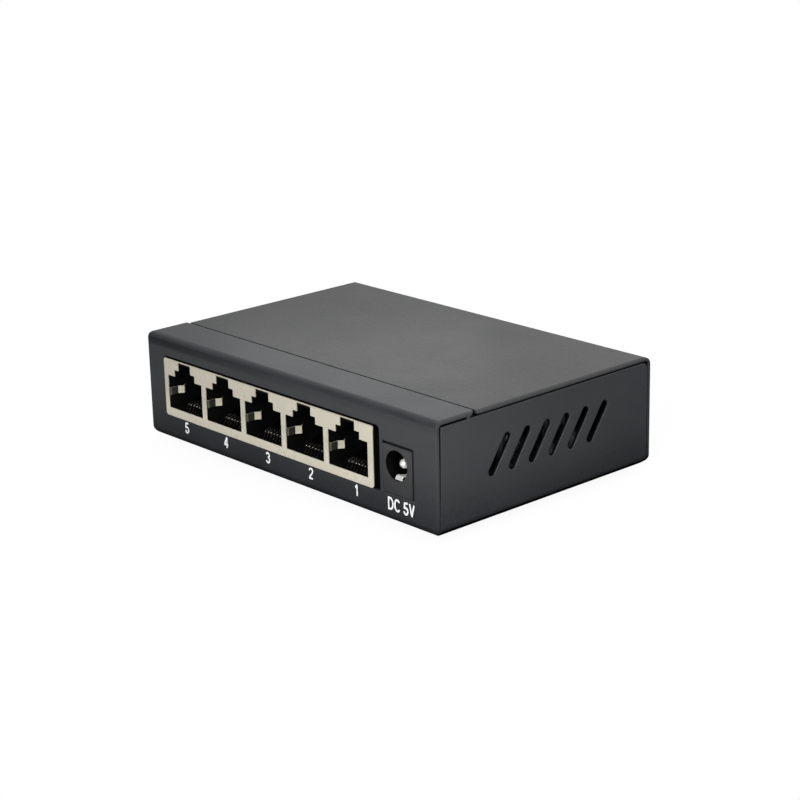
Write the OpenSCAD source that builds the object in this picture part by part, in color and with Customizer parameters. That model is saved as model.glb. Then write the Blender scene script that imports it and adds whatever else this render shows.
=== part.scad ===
// Desktop network switch: folded sheet-metal case, five ganged RJ45 ports, DC power jack.
// Millimetres. Port wall faces -Y, +Z is up, z = 0 is the desk under the rubber feet.
// Pieces are drawn with y = 0 on the port wall and z = 0 under the case; place() moves them.

/* [Case] */
// Width across the side walls
case_w = 96; // [94:0.5:100]
// Depth from the port wall to the rear wall
case_d = 63.8; // [62:0.2:70]
// Height of the case without the feet
case_h = 24.6; // [24.2:0.1:27]
// Sheet thickness of the case
sheet_t = 0.8; // [0.6:0.1:1]
// Outer radius of the bottom bends
bend_r = 2; // [1.6:0.1:2.4]
// Outer radius of the bend between port wall and top lip
lip_bend_r = 1.5; // [1.2:0.1:1.8]
// Depth of the fixed top lip behind the port wall
lip_d = 10.7; // [9:0.5:12]
// How far the cover plate lies below the lip
cover_drop = 0.2; // [0.2:0.1:0.4]
// How much narrower the cover is than the case, per side
cover_inset = 0.2; // [0.1:0.1:0.5]
// Height of the rubber feet
foot_h = 1.5; // [1:0.5:3]
// Radius of the rubber feet
foot_r = 4; // [3:0.5:5]

/* [Side vents] */
// Number of slanted slots in each side wall
vent_n = 6; // [3:1:6]
// Spacing of the slots
vent_pitch = 5.84; // [5:0.1:6]
// Width of one slot
vent_w = 2; // [1:0.1:2.2]
// Height of the slot centre line
vent_rise = 6.4; // [4:0.2:7]
// How far a slot leans to the rear at its top
vent_lean = 4.4; // [2:0.2:6]

/* [Ports] */
// Number of RJ45 ports in the ganged jack
port_n = 5; // [5:1:5]
// Spacing of the ports
port_pitch = 13.97; // [13.97:0.01:14]
// Width of one port window
win_w = 12.47; // [12:0.05:12.6]
// Depth of the jack block
jack_d = 15.6; // [15:0.2:16.4]
// How far the shield face stands proud of the port wall
shield_proud = 0.1; // [0.1:0.05:0.2]
// Thickness of the shield sheet
shield_t = 0.2; // [0.2:0.05:0.3]
// Spacing of the contact wires in a port
wire_pitch = 1.02; // [1:0.01:1.04]
// Width of one contact wire
wire_w = 0.4; // [0.3:0.05:0.45]

/* [Power jack] */
// Radius of the plug hole
dc_bore_r = 3.25; // [3:0.05:3.4]
// Radius of the centre pin
dc_pin_r = 1; // [0.8:0.05:1.1]

/* [Cover screws] */
// Height of the screw heads
head_h = 1.8; // [1.4:0.2:2.2]
// Radius of the screw heads
head_r = 2.75; // [2.5:0.05:3]

/* [Hidden] */

$fn = 32;
over = 1; // how far a cutting shape runs past the surface it cuts
sides = [-1, 1];

// case
half_w = case_w / 2;
inner_x = half_w - sheet_t;
cover_half_w = half_w - cover_inset;
cover_top = case_h - cover_drop;
cover_under = cover_top - sheet_t;
wall_top = cover_under - 0.27;
rear_in = case_d - sheet_t;
floor_end = rear_in - 2.2;
wall_end = rear_in - 0.4;
top_edge_r = 0.7; // rounding of the top side edges
flange_cut_z = 2.2; // top of the cuts around the cover's return flange
// centre of the bounding box along Y, from the shield face to the screw heads
y_mid = (case_d + head_h - shield_proud) / 2;

// board
pcb_top = 6;
pcb_t = 1.6;
pcb_low = pcb_top - pcb_t;
tail_z = 3.2; // lower end of the leads through the board
lead_hole_w = 0.8;
slot_gap = 0.15; // play around flat terminals in their slots
board_screw_x = 42.5;
board_screw_y = [18.6, 54];
board_screw_r = 1.15;

// jack block
ports = [0 : port_n - 1];
wires = [0 : 7];
win_x0 = -40.9;
win_z0 = 7.99;
shield_x0 = win_x0 - 1.3;
shield_x1 = win_x0 + (port_n - 1) * port_pitch + win_w + 1.65;
shield_z0 = 6.07;
shield_z1 = 19.57;
shield_in_y = shield_t - shield_proud;
shield_side_y = 2.4; // front edge of the shield's side walls
shield_tab_y = [7, 12.5];
shield_tab_w = 1.6;
well_z = 6.25;
wire_bend_y = 3.5;
wire_bend_z = 8.35;
function win_x(i) = win_x0 + i * port_pitch;
function port_x(i) = win_x(i) + win_w / 2;
function wire_x(i, j) = port_x(i) + (j - 3.5) * wire_pitch;
function tail_y(j) = j % 2 == 0 ? 8.5 : 11;

// power jack: body sides and top, axis, depths
dc_x0 = 31.88;
dc_x1 = 40.65;
dc_z1 = 16.75;
dc_x = 36;
dc_z = 12.65;
dc_d = 14;
dc_bore_d = 9.6;
dc_shank_hole_r = 0.85;
dc_term_t = 0.3;
// flat terminals: x0, y0, x1, y1, top z
dc_terminals = [
    [dc_x - 1.2, dc_d, dc_x + 1.2, dc_d + dc_term_t, dc_z + 1.7],
    [dc_x - 1, 8.95, dc_x + 1, 8.95 + dc_term_t, 8.35],
    [dc_x1, 4.8, dc_x1 + dc_term_t, 7, 9]];

// cover screws and their tabs
tab_x = 42;
tab_z = 9.5;
tab_y0 = rear_in - 1.35;
tab_y1 = tab_y0 + sheet_t;

// indicator lamps
led_x = [-25, -15, -5, 5, 15, 25];
led_z = 12.5;
led_r = 1.45;
led_y = 58.2; // front of the collar
led_tip_y = 62.1;
led_lead_x = 1.27; // lead offset from the lamp axis
led_lead_y = 56;
led_lead_half = 0.22;

// ---- shared shapes ----

module place() translate([0, -y_mid, foot_h]) children();

// box from one corner to the other
module span_box(low, high) translate(low)
    cube([high.x - low.x, high.y - low.y, high.z - low.z]);

// the same box at both sides; y and z are [low, high]
module side_boxes(centre_x, half_x, y, z) for (side = sides)
    span_box([side * centre_x - half_x, y[0], z[0]], [side * centre_x + half_x, y[1], z[1]]);

// rectangle with one radius, or one for each corner: [x0y0, x1y0, x1y1, x0y1]
module round_rect(x0, y0, x1, y1, radii) {
    r = is_num(radii) ? [radii, radii, radii, radii] : radii;
    // x, y, and whether to keep the point: a square corner needs only one of its two
    outline = [
        [x0 + r[0], y0, 1], [x1 - r[1], y0, 1], [x1, y0 + r[1], r[1]],
        [x1, y1 - r[2], 1], [x1 - r[2], y1, r[2]], [x0 + r[3], y1, 1],
        [x0, y1 - r[3], r[3]], [x0, y0 + r[0], r[0]]];
    union() {
        polygon([for (p = outline) if (p[2] > 0) [p[0], p[1]]]);
        if (r[0] > 0) translate([x0 + r[0], y0 + r[0]]) circle(r[0]);
        if (r[1] > 0) translate([x1 - r[1], y0 + r[1]]) circle(r[1]);
        if (r[2] > 0) translate([x1 - r[2], y1 - r[2]]) circle(r[2]);
        if (r[3] > 0) translate([x0 + r[3], y1 - r[3]]) circle(r[3]);
    }
}

// a profile drawn in Y, Z and extruded along X
module along_x(x0, x1) translate([x0, 0, 0]) rotate([90, 0, 90])
    linear_extrude(x1 - x0) children();
// a profile drawn in X, Z and extruded along Y
module along_y(y0, y1) translate([0, y1, 0]) rotate([90, 0, 0])
    linear_extrude(y1 - y0) children();
// cylinder along Y
module rod_y(x, z, r, y0, y1) translate([x, y0, z]) rotate([-90, 0, 0])
    cylinder(h = y1 - y0, r = r);

// closed outline of a strip of thickness t along a line of points, with mitred corners
function unit(v) = v / norm(v);
function left_of(a, b) = let (d = unit(b - a)) [-d.y, d.x];
function band(line, t) = let (
        last = len(line) - 1,
        offsets = [for (i = [0 : last]) let (
            before = left_of(line[max(i - 1, 0)], line[max(i, 1)]),
            after = left_of(line[min(i, last - 1)], line[min(i + 1, last)]),
            mitre = unit(before + after)) mitre / (mitre * before) * t / 2])
    concat([for (i = [0 : last]) line[i] - offsets[i]],
        [for (i = [last : -1 : 0]) line[i] + offsets[i]]);

// flat strip between two points of a profile
module strip(a, b, t) {
    d = b - a;
    translate(a) rotate(atan2(d.y, d.x)) translate([0, -t / 2]) square([norm(d), t]);
}

// screw pointing down, with a cross recess; z = 0 is under the head
module pan_screw(r_head, h_head, r_shank, length) {
    rim_h = h_head * 0.45;
    recess = [2.7, 0.6];
    difference() {
        union() {
            cylinder(h = rim_h, r = r_head);
            translate([0, 0, rim_h])
                cylinder(h = h_head - rim_h, r1 = r_head, r2 = r_head * 0.72);
            translate([0, 0, -length]) cylinder(h = length + 0.2, r = r_shank);
        }
        for (angle = [0, 90]) rotate(angle) translate([-recess.x / 2, -recess.y / 2, h_head - 0.9])
            cube([recess.x, recess.y, 2]);
    }
}

// ---- case ----

// upright slot with round ends, from the centre of its lower end
module slot(w, length) union() {
    translate([-w / 2, 0]) square([w, length]);
    circle(w / 2);
    translate([0, length]) circle(w / 2);
}

module vent_profile() {
    first_vent = [15.3, 10.5];
    for (i = [0 : vent_n - 1]) translate(first_vent + [i * vent_pitch, 0])
        rotate(-atan2(vent_lean, vent_rise)) slot(vent_w, norm([vent_lean, vent_rise]));
}

// section of the case across X
module case_outline(half_x, h)
    round_rect(-half_x, 0, half_x, h, [bend_r, bend_r, top_edge_r, top_edge_r]);

// waste outside a rounded plate corner at both sides
module corner_trims(half_x, r, centre_y, y0, y1, z) {
    half_cut = 0.8;
    for (side = sides) translate([0, 0, z]) linear_extrude(2) difference() {
        translate([side * (half_x - r + half_cut) - half_cut, y0])
            square([2 * half_cut, y1 - y0]);
        translate([side * (half_x - r), centre_y]) circle(r);
    }
}

module chassis_sheet() union() {
    // bottom, port wall and top lip
    intersection() {
        along_x(-half_w, half_w) difference() {
            round_rect(0, 0, floor_end, case_h, [bend_r, 0, 0, lip_bend_r]);
            round_rect(sheet_t, sheet_t, case_d, case_h - sheet_t,
                [bend_r - sheet_t, 0, 0, lip_bend_r - sheet_t]);
            translate([lip_d, sheet_t + 1]) square([case_d, case_h]);
        }
        along_y(-over, case_d) case_outline(half_w, case_h);
    }
    // side walls
    intersection() {
        along_y(sheet_t + 0.1, wall_end) difference() {
            case_outline(half_w, case_h);
            round_rect(-inner_x, sheet_t, inner_x, case_h + over,
                [bend_r - sheet_t, bend_r - sheet_t, 0, 0]);
        }
        along_x(-half_w - over, half_w + over) difference() {
            round_rect(0, 0, wall_end, wall_top, [bend_r, 1.8, 1.6, 0]);
            // open corner seam, wider towards the top
            polygon([[-over, 2.6], [sheet_t + 0.15, 2.6],
                [sheet_t + 0.5, case_h], [-over, case_h]]);
        }
    }
    // lip joined to the side walls
    side_boxes(half_w - sheet_t / 2, sheet_t / 2,
        [lip_d - 2.1, lip_d - 1.25], [wall_top - 1, case_h - sheet_t + 0.05]);
    // screw tabs for the cover
    side_boxes(43, 4.4, [tab_y0, tab_y1], [2.6, 16]);
}

module chassis() color([0.16, 0.17, 0.18]) difference() {
    floor_cut_x = inner_x - 1.6;
    lip_corner_r = 1.2;
    lip_corner_y = lip_d - lip_corner_r;
    chassis_sheet();
    // rear edge of the bottom, clear of the cover's return flange
    span_box([-floor_cut_x, floor_end, -over], [floor_cut_x, case_d, flange_cut_z]);
    corner_trims(half_w, lip_corner_r, lip_corner_y,
        lip_corner_y, lip_corner_y + 2, case_h - sheet_t - 0.3);
    // cut-outs in the port wall for the jack block and the power jack
    along_y(-over, sheet_t + 0.05) union() {
        round_rect(shield_x0 - 0.08, 5.95, 31, 20.1, [0.8, 0.4, 0.9, 0.8]);
        round_rect(dc_x0 - 0.1, 6.3, dc_x1 + 0.55, dc_z1 + 0.53, [0.3, 0.3, 0.4, 0.3]);
    }
    along_x(-half_w - over, -inner_x + 0.5) vent_profile();
    along_x(inner_x - 0.5, half_w + over) vent_profile();
    for (side = sides) rod_y(side * tab_x, tab_z, 1.25, tab_y0 - over, tab_y1 + over);
}

module top_cover() color([0.2, 0.21, 0.22]) difference() {
    corner_r = 1;
    corner_end = lip_d + 1.85;
    flange_d = 2;
    tongue = [22, 11]; // width, depth
    union() {
        // top plate, rear wall and return flange
        intersection() {
            along_x(-cover_half_w, cover_half_w) difference() {
                round_rect(lip_d + 0.85, 0, case_d, cover_top, [0, 1.8, 1.8, 0]);
                round_rect(lip_d - over, sheet_t, rear_in, cover_under, [0, 1, 1, 0]);
                translate([lip_d - over, -over])
                    square([rear_in - flange_d - lip_d + over, 2 * over]);
            }
            along_y(0, case_d + over) case_outline(cover_half_w, cover_top);
        }
        // tongues under the lip
        for (side = sides) translate([side * 25, lip_d - 5, cover_under - sheet_t])
            linear_extrude(sheet_t)
                round_rect(-tongue.x / 2, 0, tongue.x / 2, tongue.y, [2, 2, 0, 0]);
    }
    // return flange only between the side walls
    side_boxes(cover_half_w + 2, 4.3, [rear_in - 3, rear_in], [-over, flange_cut_z]);
    // rounded front corners
    corner_trims(cover_half_w, corner_r, corner_end, lip_d, corner_end, cover_under - 0.1);
    for (side = sides) rod_y(side * tab_x, tab_z, 1.7, rear_in - over, case_d + over);
    for (x = led_x) rod_y(x, led_z, 1.65, rear_in - over, case_d + over);
}

module cover_screws() color([0.12, 0.12, 0.13])
    for (side = sides) translate([side * tab_x, case_d, tab_z]) rotate([-90, 0, 0])
        pan_screw(head_r, head_h, r_shank = 1.15, length = 3.4);

module rubber_feet() color([0.09, 0.09, 0.09]) {
    chamfer = 0.3;
    for (x = [-36, 36], y = [11.5, 51.5]) translate([x, y, -foot_h]) union() {
        cylinder(h = chamfer, r1 = foot_r - chamfer, r2 = foot_r);
        translate([0, 0, chamfer]) cylinder(h = foot_h - chamfer, r = foot_r);
    }
}

// ---- board ----

module lead_hole(x, y) translate([x - lead_hole_w / 2, y - lead_hole_w / 2]) square(lead_hole_w);

module at_board_screws(z)
    for (x = [-board_screw_x, board_screw_x], y = board_screw_y) translate([x, y, z]) children();

module circuit_board() color([0.06, 0.32, 0.16]) translate([0, 0, pcb_low]) linear_extrude(pcb_t)
    difference() {
        half_x = inner_x - 0.8;
        round_rect(-half_x, sheet_t + 0.4, half_x, rear_in - 2.4, 1);
        at_board_screws(0) circle(1.6);
        for (i = ports, j = wires) lead_hole(wire_x(i, j), tail_y(j));
        for (x = [shield_x0, shield_x1], y = shield_tab_y)
            translate([x - 0.45, y - slot_gap]) square([0.9, shield_tab_w + 2 * slot_gap]);
        for (t = dc_terminals) translate([t[0] - slot_gap, t[1] - slot_gap])
            square([t[2] - t[0] + 2 * slot_gap, t[3] - t[1] + 2 * slot_gap]);
        for (x = led_x, side = sides) lead_hole(x + side * led_lead_x, led_lead_y);
    }

module pcb_standoffs() color([0.75, 0.75, 0.72]) at_board_screws(sheet_t) difference() {
    cylinder(h = pcb_low - sheet_t, r = 2.5);
    translate([0, 0, -over]) cylinder(h = pcb_low + 2 * over, r = 1.25);
}

module pcb_screws() color([0.7, 0.7, 0.68]) at_board_screws(pcb_top)
    pan_screw(r_head = 2.6, h_head = 1.6, r_shank = board_screw_r, length = 4.4);

// ---- jack block ----

// stepped port window, grown by gap; the grown one stops lower at the top step
module window_profile(i, gap) union() {
    x = port_x(i);
    half_win = win_w / 2 + gap;
    round_rect(x - half_win, win_z0 - gap, x + half_win, 15.75 + gap, 0);
    translate([x - 3.75 - gap, 15]) square([7.5 + 2 * gap, 2.35 + gap]);
    translate([x - 2.25 - gap, 17]) square([4.5 + 2 * gap, gap > 0 ? 1.9 : 2.33]);
}

// grounding finger on the left wall of a port, drawn in X, Y
finger_line = [[-0.15, 0], [0.3, 0.4], [0.3, 2.26], [1.05, 3.46], [0.4, 4.2]];
finger_t = 0.18;

module jack_shield() color([0.84, 0.81, 0.7]) union() {
    difference() {
        intersection() {
            along_y(-shield_proud, jack_d)
                round_rect(shield_x0, shield_z0, shield_x1, shield_z1, [0.7, 0.7, 0.4, 0.4]);
            along_x(shield_x0 - over, shield_x1 + over)
                round_rect(-shield_proud, shield_z0 - over, jack_d, shield_z1, [0, 0, 0.3, 0.35]);
        }
        span_box([shield_x0 + shield_t, shield_in_y, shield_z0 - over],
            [shield_x1 - shield_t, jack_d - shield_t, shield_z1 - shield_t]);
        // side walls start behind the face
        for (x = [shield_x0, shield_x1])
            span_box([x - 0.5, shield_in_y, shield_z0 - over],
                [x + 0.5, shield_side_y, shield_z1 - 1]);
        along_y(-over, shield_in_y + 0.05) for (i = ports) window_profile(i, 0);
    }
    for (i = ports) translate([win_x(i), 0, 10.85]) linear_extrude(1.75) union() {
        polygon(band(finger_line, finger_t));
        translate([win_w, 0]) mirror([1, 0]) polygon(band(finger_line, finger_t));
    }
    // tabs through the board
    for (x = [shield_x0, shield_x1 - shield_t], y = shield_tab_y)
        span_box([x, y, tail_z + 0.2], [x + shield_t, y + shield_tab_w, shield_z0 + 1.5]);
}

module jack_housing() color([0.05, 0.05, 0.055]) difference() {
    gap = 0.05;
    inset = shield_t + gap;
    front_y = shield_in_y + gap;
    well_half = 4.35;
    well_end = 13;
    groove_half = 0.3;
    union() {
        span_box([shield_x0 + inset, front_y, pcb_top],
            [shield_x1 - inset, jack_d - inset, shield_z1 - inset]);
        // shoulders beside the face, in front of the shield's side walls
        span_box([shield_x0 + 0.08, front_y, shield_z0 + 0.6],
            [shield_x1 - 0.08, shield_side_y - gap, shield_z1 - 1.05]);
    }
    along_y(-over, well_end) for (i = ports) window_profile(i, 0.06);
    for (i = ports) {
        // room for the grounding fingers
        span_box([win_x(i) - 0.35, -over, 10.65], [win_x(i) + win_w + 0.35, 5, 12.8]);
        // well under the contact wires
        span_box([port_x(i) - well_half, 0.45, well_z],
            [port_x(i) + well_half, well_end, win_z0 + 0.5]);
    }
    for (i = ports, j = wires) {
        x0 = wire_x(i, j) - groove_half;
        x1 = wire_x(i, j) + groove_half;
        // comb groove behind the wire
        span_box([x0, well_end - 0.1, 8.6], [x1, 14.3, 13]);
        // hole for the tail
        span_box([x0, tail_y(j) - groove_half, pcb_top - over],
            [x1, tail_y(j) + groove_half, well_z + 0.1]);
    }
}

// extrudes a Y, Z profile to the width of wire j in the port at place i, counted from -X
module wire(i, j) along_x(wire_x(i, j) - wire_w / 2, wire_x(i, j) + wire_w / 2) children();

module port_contacts(i) color([0.9, 0.72, 0.3]) for (j = wires) wire(i, j) union() {
    wire_t = 0.26;
    start = [wire_bend_y, wire_bend_z + wire_t / 2];
    translate([wire_bend_y, wire_bend_z]) circle(0.3);
    strip(start, [wire_bend_y + 10.1, wire_bend_z + 4.1], wire_t);
}
// ports are numbered from +X to -X
module port_5_contacts() port_contacts(0);
module port_4_contacts() port_contacts(1);
module port_3_contacts() port_contacts(2);
module port_2_contacts() port_contacts(3);
module port_1_contacts() port_contacts(4);

module contact_tails() color([0.85, 0.78, 0.55]) for (i = ports, j = wires) {
    y0 = tail_y(j) - 0.2;
    y1 = tail_y(j) + 0.2;
    low_z = 6.4;
    high_z = 6.65;
    wire(i, j) polygon([
        [wire_bend_y - 1.45, low_z], [y0, low_z], [y0, tail_z],
        [y1, tail_z], [y1, high_z], [wire_bend_y - 1.0, high_z],
        [wire_bend_y - 0.02, wire_bend_z - 0.38], [wire_bend_y - 0.32, wire_bend_z - 0.3]]);
}

// ---- power jack ----

module dc_jack_body() color([0.13, 0.125, 0.125]) difference() {
    slot_half = 1.35;
    spring_foot = dc_terminals[1];
    slot_end = spring_foot[3] + slot_gap;
    along_y(0.05, dc_d) round_rect(dc_x0, pcb_top + 0.05, dc_x1, dc_z1, 0.3);
    rod_y(dc_x, dc_z, dc_bore_r, -over, dc_bore_d);
    rod_y(dc_x, dc_z, dc_shank_hole_r, 9, dc_d + over);
    // slot below the bore for the spring
    span_box([dc_x - slot_half, 0.35, 7.4], [dc_x + slot_half, slot_end, dc_z - 1.5]);
    // step over the lower edge of the cut-out
    span_box([dc_x0 - over, -over, 5], [dc_x1 + over, 0.95, 6.4]);
    // slot for the terminal under the spring
    span_box([spring_foot[0] - slot_gap, spring_foot[1] - slot_gap, pcb_top - over],
        [spring_foot[2] + slot_gap, slot_end, 7.6]);
}

module dc_jack_pin() color([0.8, 0.8, 0.78]) union() {
    tip_y = 2.3;
    translate([dc_x, tip_y, dc_z]) sphere(dc_pin_r);
    rod_y(dc_x, dc_z, dc_pin_r, tip_y, dc_bore_d);
    // thinner shank and rear head
    rod_y(dc_x, dc_z, 0.8, dc_bore_d - 0.1, 14.4);
    rod_y(dc_x, dc_z, 1.5, dc_d + dc_term_t, 14.65);
}

module dc_jack_spring() color([0.8, 0.8, 0.78]) along_x(dc_x - 0.9, dc_x + 1) union() {
    translate([8.6, 8.75]) circle(0.28);
    polygon(band([[8.68, 8.735], [2, 10], [1.35, 10.25], [0.95, 10.18], [0.55, 9.5]], 0.25));
}

module dc_jack_terminals() color([0.8, 0.8, 0.78]) difference() {
    for (t = dc_terminals) span_box([t[0], t[1], tail_z], [t[2], t[3], t[4]]);
    rod_y(dc_x, dc_z, dc_shank_hole_r, dc_d - over, dc_d + over);
}

// ---- board parts ----

// box centred on a place on the board, raised by lift
module part_box(at, size, lift = 0)
    translate([at.x - size.x / 2, at.y - size.y / 2, pcb_top + lift]) cube(size);

// gull-wing lead: from the body side at x = 0 outwards to the board
module gull(length, drop, w) {
    t = 0.15;
    knee = length * 0.35;
    rotate([90, 0, 0]) translate([0, 0, -w / 2]) linear_extrude(w) polygon([
        [0, 0], [knee, 0], [knee + 0.12, t - drop], [length, t - drop],
        [length, -drop], [knee - 0.03, -drop], [knee - t, -t], [0, -t]]);
}

// a row of n leads on each side named by its angle; edge is the body side's distance
module lead_rows(at, angles, edge, n, pitch, length, drop, w)
    translate([at.x, at.y, pcb_top + drop])
        for (angle = angles, k = [-(n - 1) / 2 : 1 : (n - 1) / 2])
            rotate(angle) translate([edge, k * pitch, 0]) gull(length, drop, w);

chip_at = [-10, 40];
chip_half = 7;
module switch_chip() color([0.1, 0.1, 0.11])
    translate([chip_at.x, chip_at.y, pcb_top + 0.12]) difference() {
        linear_extrude(1.2)
            round_rect(-chip_half, -chip_half, chip_half, chip_half, [0.5, 0.2, 0.2, 0.2]);
        // round corner mark
        translate([-5.6, -5.6, 1.1]) cylinder(h = 1, r = 0.5);
    }
module switch_chip_leads() color([0.8, 0.8, 0.8])
    lead_rows(chip_at, [0 : 90 : 270], edge = chip_half, n = 16, pitch = 0.8,
        length = 1.2, drop = 0.72, w = 0.34);

transformer_y = 24.5;
transformer_size = [12, 6.8, 2.6];
module lan_transformers() color([0.08, 0.08, 0.085])
    for (i = ports) part_box([port_x(i), transformer_y], transformer_size, lift = 0.15);
module transformer_leads() color([0.8, 0.8, 0.8])
    for (i = ports) lead_rows([port_x(i), transformer_y], [-90, 90],
        edge = transformer_size.y / 2, n = 8, pitch = 1.27, length = 1.4, drop = 1, w = 0.4);

module crystal() color([0.78, 0.78, 0.76]) translate([-30, 41, pcb_top]) union() {
    linear_extrude(0.5) round_rect(-5.6, -2.4, 5.6, 2.4, 2.3);
    linear_extrude(3.4) round_rect(-5.1, -1.9, 5.1, 1.9, 1.85);
}

capacitor_at = [[31.6, 21.5], [38, 30], [30, 50]];
capacitor_base_h = 0.8;
module capacitor_bases() color([0.08, 0.08, 0.08]) for (at = capacitor_at)
    translate([at.x, at.y, pcb_top]) linear_extrude(capacitor_base_h)
        round_rect(-3.4, -3.4, 3.4, 3.4, [1.4, 1.4, 0.2, 0.2]);
module capacitor_cans() color([0.72, 0.73, 0.75]) for (at = capacitor_at)
    translate([at.x, at.y, pcb_top + capacitor_base_h]) cylinder(h = 6.6, r = 3.1);

module power_inductor() color([0.2, 0.19, 0.19]) translate([24, 33, pcb_top]) difference() {
    linear_extrude(4) round_rect(-3.5, -3.5, 3.5, 3.5, 0.8);
    translate([0, 0, 3.7]) cylinder(h = 1, r = 2.5);
}

// the two eight-lead chips
regulator_at = [24, 42];
memory_at = [-28, 31.5];
small_chip_size = [4, 5, 1.4];
module small_chip(at) part_box(at, small_chip_size, lift = 0.12);
module regulator_chip() color([0.1, 0.1, 0.1]) small_chip(regulator_at);
module memory_chip() color([0.1, 0.1, 0.1]) small_chip(memory_at);
module small_chip_leads() color([0.8, 0.8, 0.8]) for (at = [regulator_at, memory_at])
    lead_rows(at, [0, 180], edge = small_chip_size.x / 2, n = 4, pitch = 1.27,
        length = 1.1, drop = 0.8, w = 0.42);

module input_diode() color([0.12, 0.12, 0.12]) part_box([37.5, 39], [4.4, 2.7, 2.2]);

module smd_passives() color([0.45, 0.38, 0.3]) union() {
    // behind the jack block
    for (i = ports, k = [-1.5 : 1 : 1.5])
        part_box([port_x(i) + k * 2.6, 18.2], [0.8, 1.6, 0.5]);
    // behind the switch chip and on its +X side
    for (k = [-2 : 2]) part_box([chip_at.x + k * 3, chip_at.y + 11], [1.6, 0.8, 0.7]);
    for (k = [-2 : 2]) part_box([chip_at.x + 11, chip_at.y + k * 2.6], [0.8, 1.6, 0.7]);
    // in front of the lamps
    for (x = led_x) part_box([x, 53.8], [0.8, 1.6, 0.5]);
    // column on the +X side of the inductor
    for (k = [0 : 2]) part_box([32, 33.625 + k * 3], [2, 1.25, 0.8]);
}

module indicator_leds() color([0.6, 0.85, 0.6]) for (x = led_x) union() {
    rod_y(x, led_z, 1.6, led_y, led_y + 0.8);
    rod_y(x, led_z, led_r, led_y + 0.7, led_tip_y);
    translate([x, led_tip_y, led_z]) sphere(led_r);
}

module led_leads() color([0.8, 0.8, 0.8]) for (x = led_x, side = sides) {
    lead_x = x + side * led_lead_x;
    end_y = led_y - 0.02;
    y0 = led_lead_y - led_lead_half;
    y1 = led_lead_y + led_lead_half;
    z0 = led_z - led_lead_half;
    z1 = led_z + led_lead_half;
    along_x(lead_x - led_lead_half, lead_x + led_lead_half)
        polygon([[end_y, z1], [y0, z1], [y0, tail_z], [y1, tail_z], [y1, z0], [end_y, z0]]);
}

module led_holder() color([0.9, 0.9, 0.88]) along_y(56.6, led_y) difference() {
    hole_half = 0.3;
    round_rect(-28, pcb_top, 28, led_z + 1.9, [0, 0, 0.6, 0.6]);
    for (x = led_x, side = sides)
        translate([x + side * led_lead_x - hole_half, led_z - hole_half]) square(2 * hole_half);
    // arches between the lamps
    for (x = [-20 : 10 : 20])
        round_rect(x - 2.6, pcb_top - over, x + 2.6, led_z - 3, [0, 0, 0.5, 0.5]);
}

place() chassis();
place() top_cover();
place() cover_screws();
place() rubber_feet();
place() circuit_board();
place() pcb_standoffs();
place() pcb_screws();
place() jack_shield();
place() jack_housing();
place() port_1_contacts();
place() port_2_contacts();
place() port_3_contacts();
place() port_4_contacts();
place() port_5_contacts();
place() contact_tails();
place() dc_jack_body();
place() dc_jack_pin();
place() dc_jack_spring();
place() dc_jack_terminals();
place() switch_chip();
place() switch_chip_leads();
place() lan_transformers();
place() transformer_leads();
place() crystal();
place() capacitor_cans();
place() capacitor_bases();
place() power_inductor();
place() regulator_chip();
place() memory_chip();
place() small_chip_leads();
place() input_diode();
place() smd_passives();
place() indicator_leds();
place() led_leads();
place() led_holder();
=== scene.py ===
# A small five-port network switch with its board, jacks and printed port wall. The port wall is
# the front and faces -Y, the power jack is at the right (+X) and the case stands on a table at
# z = 0. The pieces come from CAD; this script adds materials, printing, floor, light and camera.
import math

import bmesh
import bpy
from mathutils import Matrix, Vector


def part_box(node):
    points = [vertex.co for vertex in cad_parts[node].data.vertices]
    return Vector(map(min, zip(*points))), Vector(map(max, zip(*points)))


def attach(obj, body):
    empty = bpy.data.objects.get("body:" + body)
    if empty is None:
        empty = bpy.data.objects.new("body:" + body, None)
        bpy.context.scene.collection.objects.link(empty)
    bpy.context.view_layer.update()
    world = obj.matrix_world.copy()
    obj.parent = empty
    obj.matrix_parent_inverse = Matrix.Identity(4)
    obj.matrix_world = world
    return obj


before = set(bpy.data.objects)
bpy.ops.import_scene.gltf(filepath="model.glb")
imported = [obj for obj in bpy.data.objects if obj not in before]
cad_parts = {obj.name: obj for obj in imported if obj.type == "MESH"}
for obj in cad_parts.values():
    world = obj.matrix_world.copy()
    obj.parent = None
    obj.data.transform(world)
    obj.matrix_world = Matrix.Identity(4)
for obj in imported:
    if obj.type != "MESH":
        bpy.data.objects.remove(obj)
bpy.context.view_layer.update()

MM = 0.001

case_lo, case_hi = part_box("chassis")
face_y = case_lo.y
case_floor = case_lo.z

RISE = (0.0, 1.0)
FALL = (1.0, 0.0)
NOISE_SPAN = (0.3, 0.7)  # where most values of a noise texture lie


def band(origin, start, end):
    """The two coordinates that lie start and end millimetres beyond an origin in metres."""
    return (origin + start * MM, origin + end * MM)


def tint(colour, gain, lift=0.0):
    return tuple(min(1.0, c * gain + lift) for c in colour)


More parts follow.
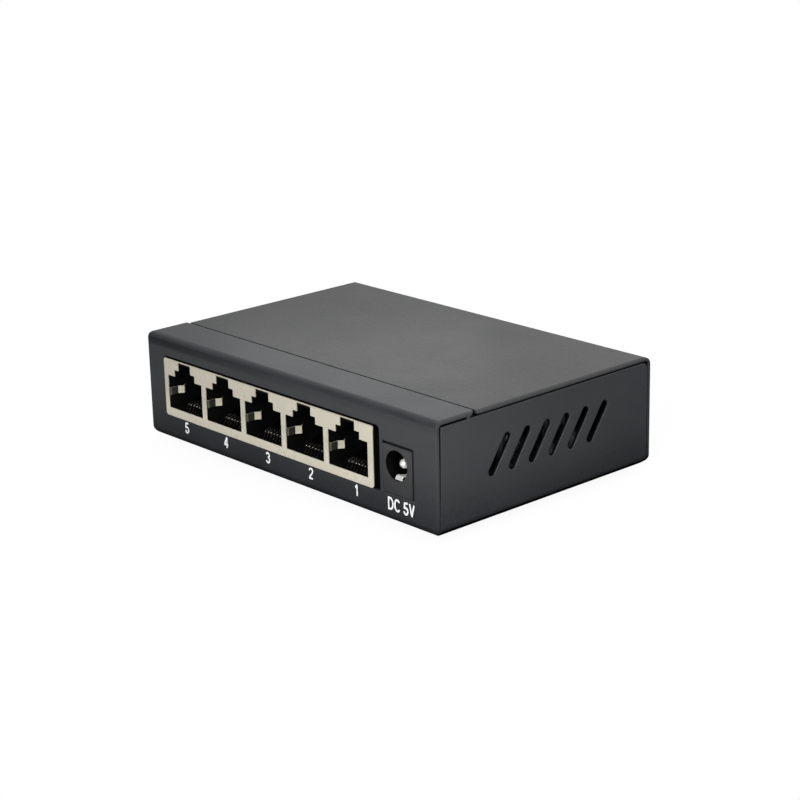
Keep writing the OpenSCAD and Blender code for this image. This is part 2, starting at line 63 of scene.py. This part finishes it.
# ------------------------------------------------------------------ shader graphs
class ShaderGraph:
    """A node tree with one shader, one output and helpers that return output sockets."""

    def __init__(self, owner, output, shader, coords):
        owner.use_nodes = True
        self.tree = owner.node_tree
        self.tree.nodes.clear()
        self.output = self.node(output)
        self.shader = self.node(shader)
        self.link(self.shader.outputs[0], self.output.inputs[0])
        self.coords = self.node("TexCoord").outputs[coords]

    def link(self, source, socket):
        self.tree.links.new(source, socket)

    def feed(self, socket, value):
        """Link a socket to the input, or set a number, vector or RGB colour on it."""
        if isinstance(value, bpy.types.NodeSocket):
            self.link(value, socket)
        else:
            socket.default_value = (*value, 1.0) if socket.type == "RGBA" else value

    def node(self, kind, inputs=None, **settings):
        node = self.tree.nodes.new("ShaderNode" + kind)
        for key, value in settings.items():
            setattr(node, key, value)
        for key, value in (inputs or {}).items():
            self.feed(node.inputs[key], value)
        return node

    def set(self, **values):
        """Feed shader inputs; underscores in the names stand for spaces."""
        for key, value in values.items():
            self.feed(self.shader.inputs[key.replace("_", " ")], value)

    def noise(self, scale, detail=3.0, rough=0.5, distortion=0.0, vector=None):
        return self.node("TexNoise", {
            "Scale": scale, "Detail": detail, "Roughness": rough, "Distortion": distortion,
            "Vector": vector or self.coords}).outputs["Fac"]

    def voronoi(self, scale, feature="F1", distance="EUCLIDEAN", randomness=1.0):
        return self.node("TexVoronoi", {
            "Scale": scale, "Randomness": randomness, "Vector": self.coords,
        }, feature=feature, distance=distance).outputs["Distance"]

    def mapped(self, z_scale=1.0, z_turn=0.0):
        return self.node("Mapping", {
            "Scale": (1.0, 1.0, z_scale), "Rotation": (0.0, 0.0, z_turn),
            "Vector": self.coords}).outputs[0]

    def remap(self, value, span=NOISE_SPAN, to=RISE, smooth=False):
        """Map a span of values onto another, held at both ends."""
        return self.node("MapRange", {
            "From Min": span[0], "From Max": span[1], "To Min": to[0], "To Max": to[1],
            "Value": value,
        }, interpolation_type="SMOOTHSTEP" if smooth else "LINEAR", clamp=True).outputs["Result"]

    def axis(self, letter, vector=None):
        return self.node("SeparateXYZ", {0: vector or self.coords}).outputs[letter]

    def along(self, letter, span, to=RISE, smooth=False):
        """A ramp over a span of one coordinate."""
        return self.remap(self.axis(letter), span, to, smooth)

    def math(self, operation, *values):
        return self.node("Math", dict(enumerate(values)), operation=operation).outputs[0]

    def multiply(self, product, *factors):
        for factor in factors:
            product = self.math("MULTIPLY", product, factor)
        return product

    def absolute(self, value):
        return self.math("ABSOLUTE", value)

    def hypotenuse(self, a, b):
        return self.math("SQRT", self.math("ADD", self.multiply(a, a), self.multiply(b, b)))

    def mix(self, factor, a, b):
        return self.node("Mix", {0: factor, 6: a, 7: b}, data_type="RGBA").outputs[2]


class Look(ShaderGraph):
    """A material on a Principled shader; edge radii and bump depths are in millimetres."""

    def __init__(self, name):
        self.material = bpy.data.materials.new(name)
        super().__init__(self.material, "OutputMaterial", "BsdfPrincipled", "Object")
        self.normal = None

    def set_normal(self, normal):
        self.normal = normal
        self.set(Normal=normal)

    def rounded_normal(self, radius):
        return self.node("Bevel", {"Radius": radius * MM}, samples=6).outputs[0]

    def round_edges(self, radius):
        """Round hard edges in shading only."""
        self.set_normal(self.rounded_normal(radius))

    def bump(self, height, strength, depth):
        """Lay a bump over the normal built so far."""
        inputs = {"Strength": strength, "Distance": depth * MM, "Height": height}
        if self.normal is not None:
            inputs["Normal"] = self.normal
        self.set_normal(self.node("Bump", inputs).outputs[0])

    def worn_edges(self, colour, radius, amount, worn):
        """Mix a worn colour in where the rounded normal leans away from the true one."""
        true_normal = self.node("NewGeometry").outputs["Normal"]
        lean = self.node("VectorMath", {0: self.rounded_normal(radius), 1: true_normal},
                         operation="DOT_PRODUCT").outputs["Value"]
        edge = self.remap(lean, span=(0.995, 0.80))
        return self.mix(self.multiply(edge, amount), colour, worn)

    def uneven_roughness(self, rough, broad, broad_spread, fine, fine_spread):
        """Vary the roughness by a broad and a fine texture; spreads are (lowest, highest)."""
        low, high = broad_spread
        self.set(Roughness=self.math(
            "ADD", self.remap(broad, to=(rough + low, rough + high)),
            self.remap(fine, to=fine_spread)))

    def darken(self, mask, amount):
        """Take the base colour and the gloss down where mask is 1."""
        source = self.shader.inputs["Base Color"].links[0].from_socket
        near_black = (0.0015, 0.0014, 0.0012)
        self.set(Base_Color=self.mix(self.multiply(mask, amount), source, near_black))
        gloss = self.shader.inputs["Specular IOR Level"]
        before = gloss.links[0].from_socket if gloss.links else gloss.default_value
        kept = self.remap(mask, span=(0.0, 1.0), to=(1.0, 0.12))
        self.feed(gloss, self.multiply(kept, before))


# ------------------------------------------------------------------ kinds of material
def powder_coat(name, base, edge):
    look = Look(name)
    cloud = look.noise(scale=55.0, detail=4.0, rough=0.6)
    mottle = look.noise(scale=700.0, detail=2.0)
    fine = look.noise(scale=2600.0, detail=2.0, rough=0.55)
    pits = look.voronoi(scale=1900.0, feature="SMOOTH_F1")
    clouded = look.remap(cloud, span=(0.35, 0.65))
    colour = look.mix(clouded, tint(base, gain=0.86), tint(base, gain=1.16))
    specks = look.remap(fine, span=(0.30, 0.72), to=(0.0, 0.5))
    colour = look.mix(specks, colour, tint(base, gain=1.7))
    patchy = look.remap(mottle, span=(0.40, 0.65), to=(0.05, 0.45))
    colour = look.worn_edges(colour, radius=0.22, amount=patchy,
                             worn=tint(base, gain=3.0, lift=0.01))
    look.set(Base_Color=colour)
    look.uneven_roughness(0.42, broad=cloud, broad_spread=(-0.03, 0.03),
                          fine=fine, fine_spread=(-0.04, 0.05))
    look.round_edges(edge)
    look.bump(mottle, strength=1.02, depth=0.03)
    look.bump(pits, strength=0.816, depth=0.02)
    look.bump(fine, strength=0.884, depth=0.012)
    return look


def metal(name, base, rough, edge=0.06, streak=1.0, tarnish=0.12, metallic=1.0):
    """streak squeezes the grain along Z by that factor."""
    look = Look(name)
    cloud = look.noise(scale=160.0, rough=0.6)
    grain = look.noise(scale=2500.0, rough=0.6, vector=look.mapped(z_scale=streak))
    clouded = look.remap(cloud, span=(0.35, 0.7))
    colour = look.mix(clouded, base, tint(base, gain=1 - tarnish))
    colour = look.worn_edges(colour, radius=0.08, amount=0.35,
                             worn=tint(base, gain=1.15, lift=0.03))
    look.set(Base_Color=colour, Metallic=metallic)
    look.uneven_roughness(rough, broad=cloud, broad_spread=(-0.05, 0.06),
                          fine=grain, fine_spread=(-0.05, 0.05))
    look.round_edges(edge)
    look.bump(cloud, strength=0.05, depth=0.01)
    look.bump(grain, strength=0.12, depth=0.004)
    return look


def plastic(name, base, rough, edge=0.1, grain=0.12, variation=0.25, gloss=0.5):
    look = Look(name)
    cloud = look.noise(scale=120.0, rough=0.6)
    fine = look.noise(scale=3400.0, detail=2.0)
    flow = look.noise(scale=220.0, detail=4.0, rough=0.6, distortion=0.4,
                      vector=look.mapped(z_scale=4.0))
    colour = look.mix(look.remap(cloud), tint(base, gain=1 - variation),
                      tint(base, gain=1 + variation))
    colour = look.worn_edges(colour, radius=0.1, amount=0.25,
                             worn=tint(base, gain=1.8, lift=0.01))
    look.set(Base_Color=colour, Specular_IOR_Level=gloss)
    look.uneven_roughness(rough, broad=flow, broad_spread=(-0.06, 0.06),
                          fine=fine, fine_spread=(-0.03, 0.03))
    look.round_edges(edge)
    look.bump(flow, strength=0.05, depth=0.02)
    look.bump(fine, strength=grain, depth=0.006)
    return look


def circuit(name):
    """Green laminate with a fine weave, traces in patches and scattered vias."""
    look = Look(name)
    weave = look.node("TexChecker", {"Scale": 1400.0, "Vector": look.coords}).outputs["Fac"]
    cloud = look.noise(scale=60.0, rough=0.6)
    traces = look.node("TexBrick", {
        "Scale": 260.0, "Mortar Size": 0.09, "Brick Width": 1.7, "Row Height": 0.35,
        "Vector": look.mapped(z_turn=0.6)}, offset=0.37).outputs["Fac"]
    spots = look.voronoi(scale=260.0, distance="CHEBYCHEV", randomness=0.35)
    vias = look.remap(spots, span=(0.10, 0.07))
    patches = look.remap(cloud, span=(0.45, 0.5), to=(0.0, 0.8))
    light_green, dark_green = (0.007, 0.050, 0.021), (0.004, 0.030, 0.012)
    trace_green, weave_green = (0.018, 0.095, 0.039), (0.05, 0.2, 0.08)
    via_gold = (0.5, 0.42, 0.22)
    colour = look.mix(look.remap(cloud), light_green, dark_green)
    colour = look.mix(look.multiply(traces, patches), colour, trace_green)
    colour = look.mix(look.multiply(weave, 0.06), colour, weave_green)
    colour = look.mix(look.multiply(vias, 0.7), colour, via_gold)
    look.set(Base_Color=colour, Roughness=look.remap(cloud, to=(0.25, 0.36)),
             Coat_Weight=0.4, Coat_Roughness=0.2)
    look.round_edges(0.08)
    look.bump(traces, strength=0.2, depth=0.02)
    return look


def rubber(name, base):
    look = Look(name)
    dust = look.noise(scale=500.0, detail=5.0, rough=0.7)
    fine = look.noise(scale=2400.0, rough=0.6)
    dusty = look.remap(dust, span=(0.45, 0.8), to=(0.0, 0.6))
    look.set(Base_Color=look.mix(dusty, base, tint(base, gain=2.2, lift=0.01)),
             Roughness=look.remap(fine, to=(0.72, 0.9)))
    look.round_edges(0.15)
    look.bump(fine, strength=0.3, depth=0.02)
    return look


def ink(name):
    look = Look(name)
    worn = look.noise(scale=1500.0, detail=4.0, rough=0.7)
    fine = look.noise(scale=5200.0, detail=2.0)
    fresh_white, worn_white = (0.96, 0.965, 0.97), (0.86, 0.865, 0.88)
    look.set(Base_Color=look.mix(look.remap(worn), fresh_white, worn_white),
             Roughness=look.remap(fine, to=(0.5, 0.7)))
    look.bump(fine, strength=0.15, depth=0.004)
    return look


def led(name, base):
    look = Look(name)
    milk = look.noise(scale=300.0, rough=0.6)
    haze = look.noise(scale=1700.0, detail=2.0)
    look.set(Base_Color=look.mix(look.remap(milk), base, tint(base, gain=0.8)),
             Roughness=look.remap(haze, to=(0.12, 0.22)), Coat_Weight=0.6)
    look.round_edges(0.1)
    look.bump(haze, strength=0.05, depth=0.004)
    return look


# ------------------------------------------------------------------ the materials
case_paint = powder_coat("case_paint", (0.0185, 0.0197, 0.0222), edge=0.42)
cover_paint = powder_coat("cover_paint", (0.0190, 0.0198, 0.0215), edge=0.30)
shield_metal = metal("shield_metal", (0.740, 0.694, 0.566), rough=0.30, edge=0.04, streak=8.0,
                     tarnish=0.04, metallic=0.30)
housing_black = plastic("housing_black", (0.0026, 0.0025, 0.0026), rough=0.42, edge=0.05,
                        gloss=0.22)
contact_gold = metal("contact_gold", (0.95, 0.91, 0.82), rough=0.24, edge=0.05)
tail_tin = metal("tail_tin", (0.60, 0.56, 0.46), rough=0.3)
dc_black = plastic("dc_black", (0.0232, 0.0236, 0.0250), rough=0.43, edge=0.12)
dc_metal = metal("dc_metal", (0.97, 0.97, 0.96), rough=0.16, edge=0.08, tarnish=0.04,
                 metallic=0.6)
screw_black = metal("screw_black", (0.055, 0.055, 0.058), rough=0.38, edge=0.12)
screw_zinc = metal("screw_zinc", (0.62, 0.62, 0.60), rough=0.32, edge=0.1)
steel_can = metal("steel_can", (0.66, 0.66, 0.64), rough=0.28, edge=0.15, streak=6.0)
alu_can = metal("alu_can", (0.72, 0.73, 0.75), rough=0.3, edge=0.2, streak=10.0)
lead_tin = metal("lead_tin", (0.66, 0.66, 0.66), rough=0.3, edge=0.04)
chip_black = plastic("chip_black", (0.018, 0.018, 0.02), rough=0.6, edge=0.12, grain=0.3)
base_black = plastic("base_black", (0.02, 0.02, 0.022), rough=0.45)
ferrite_grey = plastic("ferrite_grey", (0.045, 0.042, 0.042), rough=0.65, edge=0.15, grain=0.5)
chip_parts = plastic("chip_parts", (0.28, 0.20, 0.12), rough=0.4, edge=0.08, grain=0.2)
holder_white = plastic("holder_white", (0.72, 0.72, 0.68), rough=0.45, edge=0.15, grain=0.15,
                       variation=0.05)
board_green = circuit("board_green")
foot_rubber = rubber("foot_rubber", (0.014, 0.014, 0.014))
led_green = led("led_green", (0.36, 0.62, 0.33))
white_ink = ink("white_ink")

PART_LOOKS = {
    "chassis": case_paint, "top_cover": cover_paint, "cover_screws": screw_black,
    "rubber_feet": foot_rubber, "circuit_board": board_green, "pcb_standoffs": screw_zinc,
    "pcb_screws": screw_zinc, "jack_shield": shield_metal, "jack_housing": housing_black,
    "contact_tails": tail_tin, "dc_jack_body": dc_black, "dc_jack_pin": dc_metal,
    "dc_jack_spring": dc_metal, "dc_jack_terminals": dc_metal, "switch_chip": chip_black,
    "switch_chip_leads": lead_tin, "lan_transformers": chip_black, "transformer_leads": lead_tin,
    "crystal": steel_can, "capacitor_cans": alu_can, "capacitor_bases": base_black,
    "power_inductor": ferrite_grey, "regulator_chip": chip_black, "memory_chip": chip_black,
    "small_chip_leads": lead_tin, "input_diode": chip_black, "smd_passives": chip_parts,
    "indicator_leds": led_green, "led_leads": lead_tin, "led_holder": holder_white,
    **{f"port_{number}_contacts": contact_gold for number in range(1, 6)},
}
for part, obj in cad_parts.items():
    obj.data.materials.clear()
    obj.data.materials.append(PART_LOOKS[part].material)


# ------------------------------------------------------------------ shade by place
def shade_shield(look):
    """Painted shade: the plating stays bright on the face and inside the ports; behind the port
    wall its top and right side are darkened to black.
    """
    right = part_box("jack_shield")[1].x
    # painted shade: top and right side of the plating behind the port wall
    behind_wall = look.along("Y", band(face_y, 0.12, 0.20))
    top = look.along("Z", band(case_floor, 19.40, 19.45))
    right_side = look.along("X", band(right, -0.30, -0.25))
    look.darken(look.multiply(behind_wall, look.math("MAXIMUM", top, right_side)), amount=1.0)
    # painted shade: the plating darkens upward from 7.5 mm to 13 mm above the case floor
    upper = look.along("Z", band(case_floor, 7.5, 13.0), to=(0.0, 0.24), smooth=True)
    look.darken(upper, amount=1.0)

    # how squarely a face looks sideways: 1 for a face square to X
    true_normal = look.node("NewGeometry").outputs["True Normal"]
    sideways = look.absolute(look.axis("X", true_normal))
    # painted shade on faces square to X, from 0.35 mm behind the face
    square_sides = look.multiply(look.remap(sideways, span=(0.93, 0.97)),
                                 look.along("Y", band(face_y, 0.35, 0.45)))
    look.darken(square_sides, amount=0.93)
    # painted shade on slanted faces below 13 mm
    low_slants = look.multiply(look.remap(sideways, span=(0.55, 0.60)),
                               look.remap(sideways, span=(0.72, 0.77), to=FALL),
                               look.along("Z", band(case_floor, 13.0, 13.1), to=FALL))
    look.darken(low_slants, amount=0.90)


def shade_dc_jack(look):
    """Painted shade: the plug hole around the pin is darkened and made matt, and the body is
    darkened behind the face.
    """
    pin_lo, pin_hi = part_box("dc_jack_pin")
    across = look.math("SUBTRACT", look.axis("X"), (pin_lo.x + pin_hi.x) / 2)
    upward = look.math("SUBTRACT", look.axis("Z"), (pin_lo.z + pin_hi.z) / 2)
    radius = look.hypotenuse(across, upward)
    # painted shade in the plug hole around the pin
    hole = look.multiply(look.remap(radius, span=band(0.0, 3.30, 3.36), to=FALL),
                         look.along("Y", band(face_y, 0.10, 0.25)))
    look.darken(hole, amount=0.92)
    # painted shade on the body behind the face
    look.darken(look.along("Y", band(face_y, 1.5, 2.5)), amount=0.85)


def shade_board_rim(look):
    """Painted shade: the board is darkened along its front and at both ends."""
    board_lo, board_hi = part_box("circuit_board")
    front = look.along("Y", band(board_lo.y, 14, 15), to=FALL)
    ends = look.remap(look.absolute(look.axis("X")), span=band(board_hi.x, -6, -5))
    look.darken(look.math("MAXIMUM", front, ends), amount=0.93)


def shade_front_bend(look):
    """Painted shade under the case's front bend, strongest toward the left end."""
    height = look.axis("Z")
    bend = look.multiply(
        look.remap(height, span=band(case_hi.z, -3.1, -2.0), smooth=True),
        look.remap(height, span=band(case_hi.z, -1.3, -0.6), to=FALL, smooth=True),
        look.along("Y", band(face_y, 0.7, 1.1), to=FALL, smooth=True),
        look.along("X", band(0.0, -44, 12), to=(0.60, 0.12), smooth=True))
    look.darken(bend, amount=1.0)


def shade_case_inside(look):
    """Painted shade: the inner side of the sheet is darkened and made matt."""
    cover_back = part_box("top_cover")[1].y
    within_sides = look.remap(look.absolute(look.axis("X")),
                              span=band(case_hi.x, -0.16, -0.12), to=FALL)
    behind_front = look.along("Y", band(face_y, 0.80, 0.90))
    below_top = look.along("Z", band(case_hi.z, -1.20, -1.10), to=FALL)
    above_bottom = look.along("Z", band(case_floor, 0.30, 0.40))
    before_back = look.along("Y", band(cover_back, -0.85, -0.75), to=FALL)
    inside = look.multiply(look.multiply(within_sides, behind_front),
                           look.multiply(below_top, above_bottom, before_back))
    look.darken(inside, amount=0.90)


shade_shield(shield_metal)
# painted light: a faint emission keeps the power jack's metal bright
dc_metal.set(Emission_Color=(1.0, 1.0, 0.98), Emission_Strength=0.10)
shade_dc_jack(dc_black)
shade_board_rim(board_green)
# painted shade: the contact wires are darkened from 4.3 mm behind the face inward, leaving their
# front bends bright
contact_gold.darken(contact_gold.along("Y", band(face_y, 4.3, 5.0)), amount=0.90)
shade_front_bend(case_paint)
for paint in (case_paint, cover_paint):
    shade_case_inside(paint)
# painted shade: the wire ends above the board are darkened
tail_tin.darken(tail_tin.along("Z", band(case_floor, 6.2, 6.5)), amount=0.95)


# ------------------------------------------------------------------ printing
def arc(centre, radii, angles, steps):
    """Points on an ellipse between two angles in degrees."""
    start, end = angles
    turns = [math.radians(start + (end - start) * i / steps) for i in range(steps + 1)]
    return [(centre[0] + radii[0] * math.cos(turn), centre[1] + radii[1] * math.sin(turn))
            for turn in turns]


# character: (width, centre lines of its strokes), for a cap height of 1 with the foot at 0
STROKES = {
    "1": (0.40, [[(0.02, 0.735), (0.13, 0.79), (0.22, 0.87), (0.265, 0.995)],
                 [(0.265, 1.0), (0.265, 0.0)]]),
    "2": (0.56, [arc((0.275, 0.71), (0.215, 0.225), (172, -28), 16)
                 + [(0.38, 0.49), (0.20, 0.30), (0.09, 0.16), (0.055, 0.065)],
                 [(0.0, 0.065), (0.51, 0.065)]]),
    "3": (0.56, [arc((0.265, 0.735), (0.195, 0.20), (165, -90), 16),
                 arc((0.265, 0.295), (0.225, 0.235), (90, -168), 18)]),
    "4": (0.58, [[(0.40, 1.0), (0.40, 0.0)], [(0.375, 0.94), (0.05, 0.32)],
                 [(0.0, 0.285), (0.56, 0.285)]]),
    "5": (0.56, [[(0.48, 0.935), (0.135, 0.935)], [(0.135, 0.97), (0.075, 0.50)],
                 arc((0.255, 0.32), (0.225, 0.26), (145, -168), 20)]),
    "D": (0.66, [[(0.075, 1.0), (0.075, 0.0)],
                 [(0.04, 0.935), (0.26, 0.935)]
                 + arc((0.26, 0.5), (0.32, 0.435), (80, -80), 18)
                 + [(0.26, 0.065), (0.04, 0.065)]]),
    "C": (0.68, [arc((0.345, 0.5), (0.295, 0.44), (38, 322), 26)]),
    "V": (0.62, [[(0.045, 1.0), (0.30, 0.03)], [(0.555, 1.0), (0.30, 0.03)]]),
    " ": (0.20, []),
}
LETTER_GAP = 0.10               # in cap heights
INK_SUNK = 0.006 * MM           # how far the ink reaches into the wall
INK_PROUD = 0.012 * MM          # how far it stands out of the wall
INK_STEP = 0.0015 * MM          # keeps the fronts of crossing strokes apart
MITRE_LIMIT = 0.55              # least cosine used to widen a joint

PORT_NUMBER_X = {5: -34.78, 4: -20.36, 3: -5.6, 2: 8.9, 1: 23.53}  # centres in mm


def ribbon(points, half_width):
    """Left and right points along a stroke, mitred at its joints."""
    sides = []
    for i, point in enumerate(points):
        directions = [(Vector(points[k + 1]) - Vector(points[k])).normalized()
                      for k in (i - 1, i) if k >= 0 and k + 1 < len(points)]
        tangent = sum(directions, Vector((0, 0))).normalized()
        normal = Vector((-tangent.y, tangent.x))
        first_normal = Vector((-directions[0].y, directions[0].x))
        reach = half_width / max(MITRE_LIMIT, normal.dot(first_normal))
        sides.append((Vector(point) + normal * reach, Vector(point) - normal * reach))
    return sides


def printed(name, text, centre_x, foot, height, squeeze, half_width):
    """Characters on the port wall as closed strokes.

    centre_x, foot (above the case floor) and height are in mm, half_width in cap heights;
    squeeze narrows the text.
    """
    centre_x, foot_z, height = centre_x * MM, case_floor + foot * MM, height * MM
    pen = -(sum(STROKES[c][0] for c in text) + LETTER_GAP * (len(text) - 1)) / 2
    bm = bmesh.new()
    layer = 0
    for character in text:
        width, strokes = STROKES[character]
        for line in strokes:
            proud = INK_PROUD + INK_STEP * (layer % 3)
            layer += 1
            rings = []
            for left, right in ribbon(line, half_width):
                corners = ((left, proud), (right, proud), (right, -INK_SUNK), (left, -INK_SUNK))
                rings.append([bm.verts.new((centre_x + (pen + point.x) * height * squeeze,
                                            face_y - out, foot_z + point.y * height))
                              for point, out in corners])
            for ring, following in zip(rings, rings[1:]):
                for k in range(4):
                    after = (k + 1) % 4
                    bm.faces.new((ring[k], ring[after], following[after], following[k]))
            bm.faces.new(rings[0])
            bm.faces.new(rings[-1][::-1])
        pen += width + LETTER_GAP
    bmesh.ops.recalc_face_normals(bm, faces=bm.faces)
    mesh = bpy.data.meshes.new(name)
    bm.to_mesh(mesh)
    bm.free()
    text_obj = bpy.data.objects.new(name, mesh)
    bpy.context.scene.collection.objects.link(text_obj)
    mesh.materials.append(white_ink.material)
    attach(text_obj, "case")


for number, x in PORT_NUMBER_X.items():
    printed(f"port_number_{number}", str(number), centre_x=x, foot=3.02, height=2.54,
            squeeze=0.97, half_width=0.078)
printed("power_rating", "DC 5V", centre_x=37.25, foot=2.75, height=2.75,
        squeeze=0.93, half_width=0.080)


# ------------------------------------------------------------------ floor
FLOOR_HALF_SIZE = 6.0
FLOOR_GLOW = 0.93                          # share of the camera's view that glows near the object
FOOTPRINT_HALF_X, FOOTPRINT_HALF_Y = 0.048, 0.033


def floor_bounce(look):
    """Light thrown back: none near the object, less to the left, behind and far away."""
    x, y = look.axis("X"), look.axis("Y")

    def outside(coordinate, half):
        beyond = look.math("SUBTRACT", look.absolute(coordinate), half)
        return look.math("MAXIMUM", beyond, 0.0)

    gap = look.hypotenuse(outside(x, FOOTPRINT_HALF_X), outside(y, FOOTPRINT_HALF_Y))
    return look.multiply(
        look.remap(gap, span=(0.006, 0.041), smooth=True),
        look.remap(x, span=(-0.10, 0.01), to=(0.36, 1.0), smooth=True),
        look.remap(y, span=(0.0, 0.07), to=(1.0, 0.28), smooth=True),
        look.remap(gap, span=(0.055, 0.17), to=(1.0, 0.30), smooth=True))


def floor_paper():
    """Paper that the camera sees as white, whatever light it throws back at the object."""
    look = Look("floor_paper")
    camera_ray = look.node("LightPath").outputs["Is Camera Ray"]
    paper = look.noise(scale=900.0, rough=0.6)
    seen = look.mix(look.remap(paper), (0.985, 0.985, 0.985), (0.965, 0.965, 0.967))
    unseen = look.mix(floor_bounce(look), (0, 0, 0), (1, 1, 1))
    look.set(Base_Color=look.mix(camera_ray, unseen, seen), Roughness=0.9,
             Specular_IOR_Level=0.0)
    distance = look.node("VectorMath", {0: look.coords}, operation="LENGTH").outputs["Value"]
    glow_share = look.remap(distance, span=(0.03, 0.16), to=(FLOOR_GLOW, 1.0), smooth=True)
    glow = look.node("Emission", {"Color": (1, 1, 1), "Strength": 1.0})
    blend = look.node("MixShader", {0: look.multiply(camera_ray, glow_share),
                                    1: look.shader.outputs[0], 2: glow.outputs[0]})
    look.link(blend.outputs[0], look.output.inputs[0])
    return look.material


def build_floor():
    mesh = bpy.data.meshes.new("floor")
    bm = bmesh.new()
    bmesh.ops.create_grid(bm, x_segments=2, y_segments=2, size=FLOOR_HALF_SIZE)
    bm.to_mesh(mesh)
    bm.free()
    floor = bpy.data.objects.new("floor", mesh)
    bpy.context.scene.collection.objects.link(floor)
    mesh.materials.append(floor_paper())


build_floor()

# ------------------------------------------------------------------ sky and lights
SKY = 0.93
SKY_LEAST = 0.02
# dark patches of sky: direction, inner and outer angle in degrees, strength taken away
SKY_FLAGS = (
    ((-0.72, -0.56, 0.36), 11, 37, 0.88),     # front left
    ((-0.956, 0.169, 0.242), 21, 34, 0.55),   # left
)


def build_sky():
    world = bpy.data.worlds.new("studio")
    bpy.context.scene.world = world
    graph = ShaderGraph(world, "OutputWorld", "Background", "Generated")
    flags = []
    for direction, inner, outer, taken in SKY_FLAGS:
        view = graph.node("VectorMath", {0: graph.coords}, operation="NORMALIZE").outputs[0]
        cosine = graph.node("VectorMath", {0: view, 1: Vector(direction).normalized()},
                            operation="DOT_PRODUCT").outputs["Value"]
        span = (math.cos(math.radians(outer)), math.cos(math.radians(inner)))
        flags.append(graph.multiply(graph.remap(cosine, span=span, smooth=True), taken))
    sky = graph.math("SUBTRACT", SKY, graph.math("ADD", *flags))
    sky = graph.math("MAXIMUM", sky, SKY_LEAST)
    # the camera itself sees plain white
    camera_ray = graph.node("LightPath").outputs["Is Camera Ray"]
    strength = graph.node("Mix", {0: camera_ray, 2: sky, 3: 1.0}, data_type="FLOAT").outputs[0]
    graph.set(Strength=strength, Color=(1.0, 1.0, 1.0))


def aim_area(name, place, target, size, watts):
    light = bpy.data.lights.new(name, "AREA")
    light.shape = "RECTANGLE"
    light.size, light.size_y = size
    light.energy = watts
    lamp = bpy.data.objects.new(name, light)
    lamp.location = place
    aim = Vector(target) - Vector(place)
    lamp.rotation_euler = aim.to_track_quat("-Z", "Y").to_euler()
    bpy.context.scene.collection.objects.link(lamp)
    return lamp


build_sky()
aim_area("softbox_top", place=(0.10, 0.10, 0.75), target=(0.02, 0, 0.01),
         size=(0.5, 0.5), watts=0.5)
aim_area("softbox_corner", place=(0.21, -0.31, 0.18), target=(0.05, -0.03, 0.01),
         size=(0.14, 0.14), watts=1.15)
# a small card over the far left of the top: its sheen falls on the near and right part of it
card = aim_area("card_over_top", place=(-0.042, 0.024, 0.054), target=(0.020, -0.030, 0.026),
                size=(0.065, 0.02), watts=0.0026)
card.visible_camera = False

# ------------------------------------------------------------------ camera
AZIMUTH, ELEVATION, ROLL = 0.83709032, 0.31053292, -0.0232785   # radians; azimuth from -Y to +X
CAMERA_DISTANCE = 459.2937 * MM
CAMERA_TARGET = Vector((3.9785 * MM, face_y + 30.4700 * MM, case_floor + 12.3626 * MM))


def build_camera():
    back = Vector((math.sin(AZIMUTH) * math.cos(ELEVATION),
                   -math.cos(AZIMUTH) * math.cos(ELEVATION), math.sin(ELEVATION)))
    level_right = Vector((0, 0, 1)).cross(back).normalized()
    level_up = back.cross(level_right)
    right = math.cos(ROLL) * level_right + math.sin(ROLL) * level_up
    up = -math.sin(ROLL) * level_right + math.cos(ROLL) * level_up
    eye = CAMERA_TARGET + back * CAMERA_DISTANCE
    data = bpy.data.cameras.new("camera")
    data.sensor_width = 36.0
    data.lens = 93.05145
    data.shift_x = -0.000625
    data.shift_y = 0.000625
    data.clip_start = 0.01
    data.clip_end = 20.0
    camera = bpy.data.objects.new("camera", data)
    camera.matrix_world = Matrix((*zip(right, up, back, eye), (0, 0, 0, 1)))
    bpy.context.scene.collection.objects.link(camera)
    bpy.context.scene.camera = camera


build_camera()

view_settings = bpy.context.scene.view_settings
view_settings.view_transform = "Standard"
view_settings.look = "None"
view_settings.exposure = 0.0
view_settings.gamma = 1.0

bpy.context.view_layer.update()
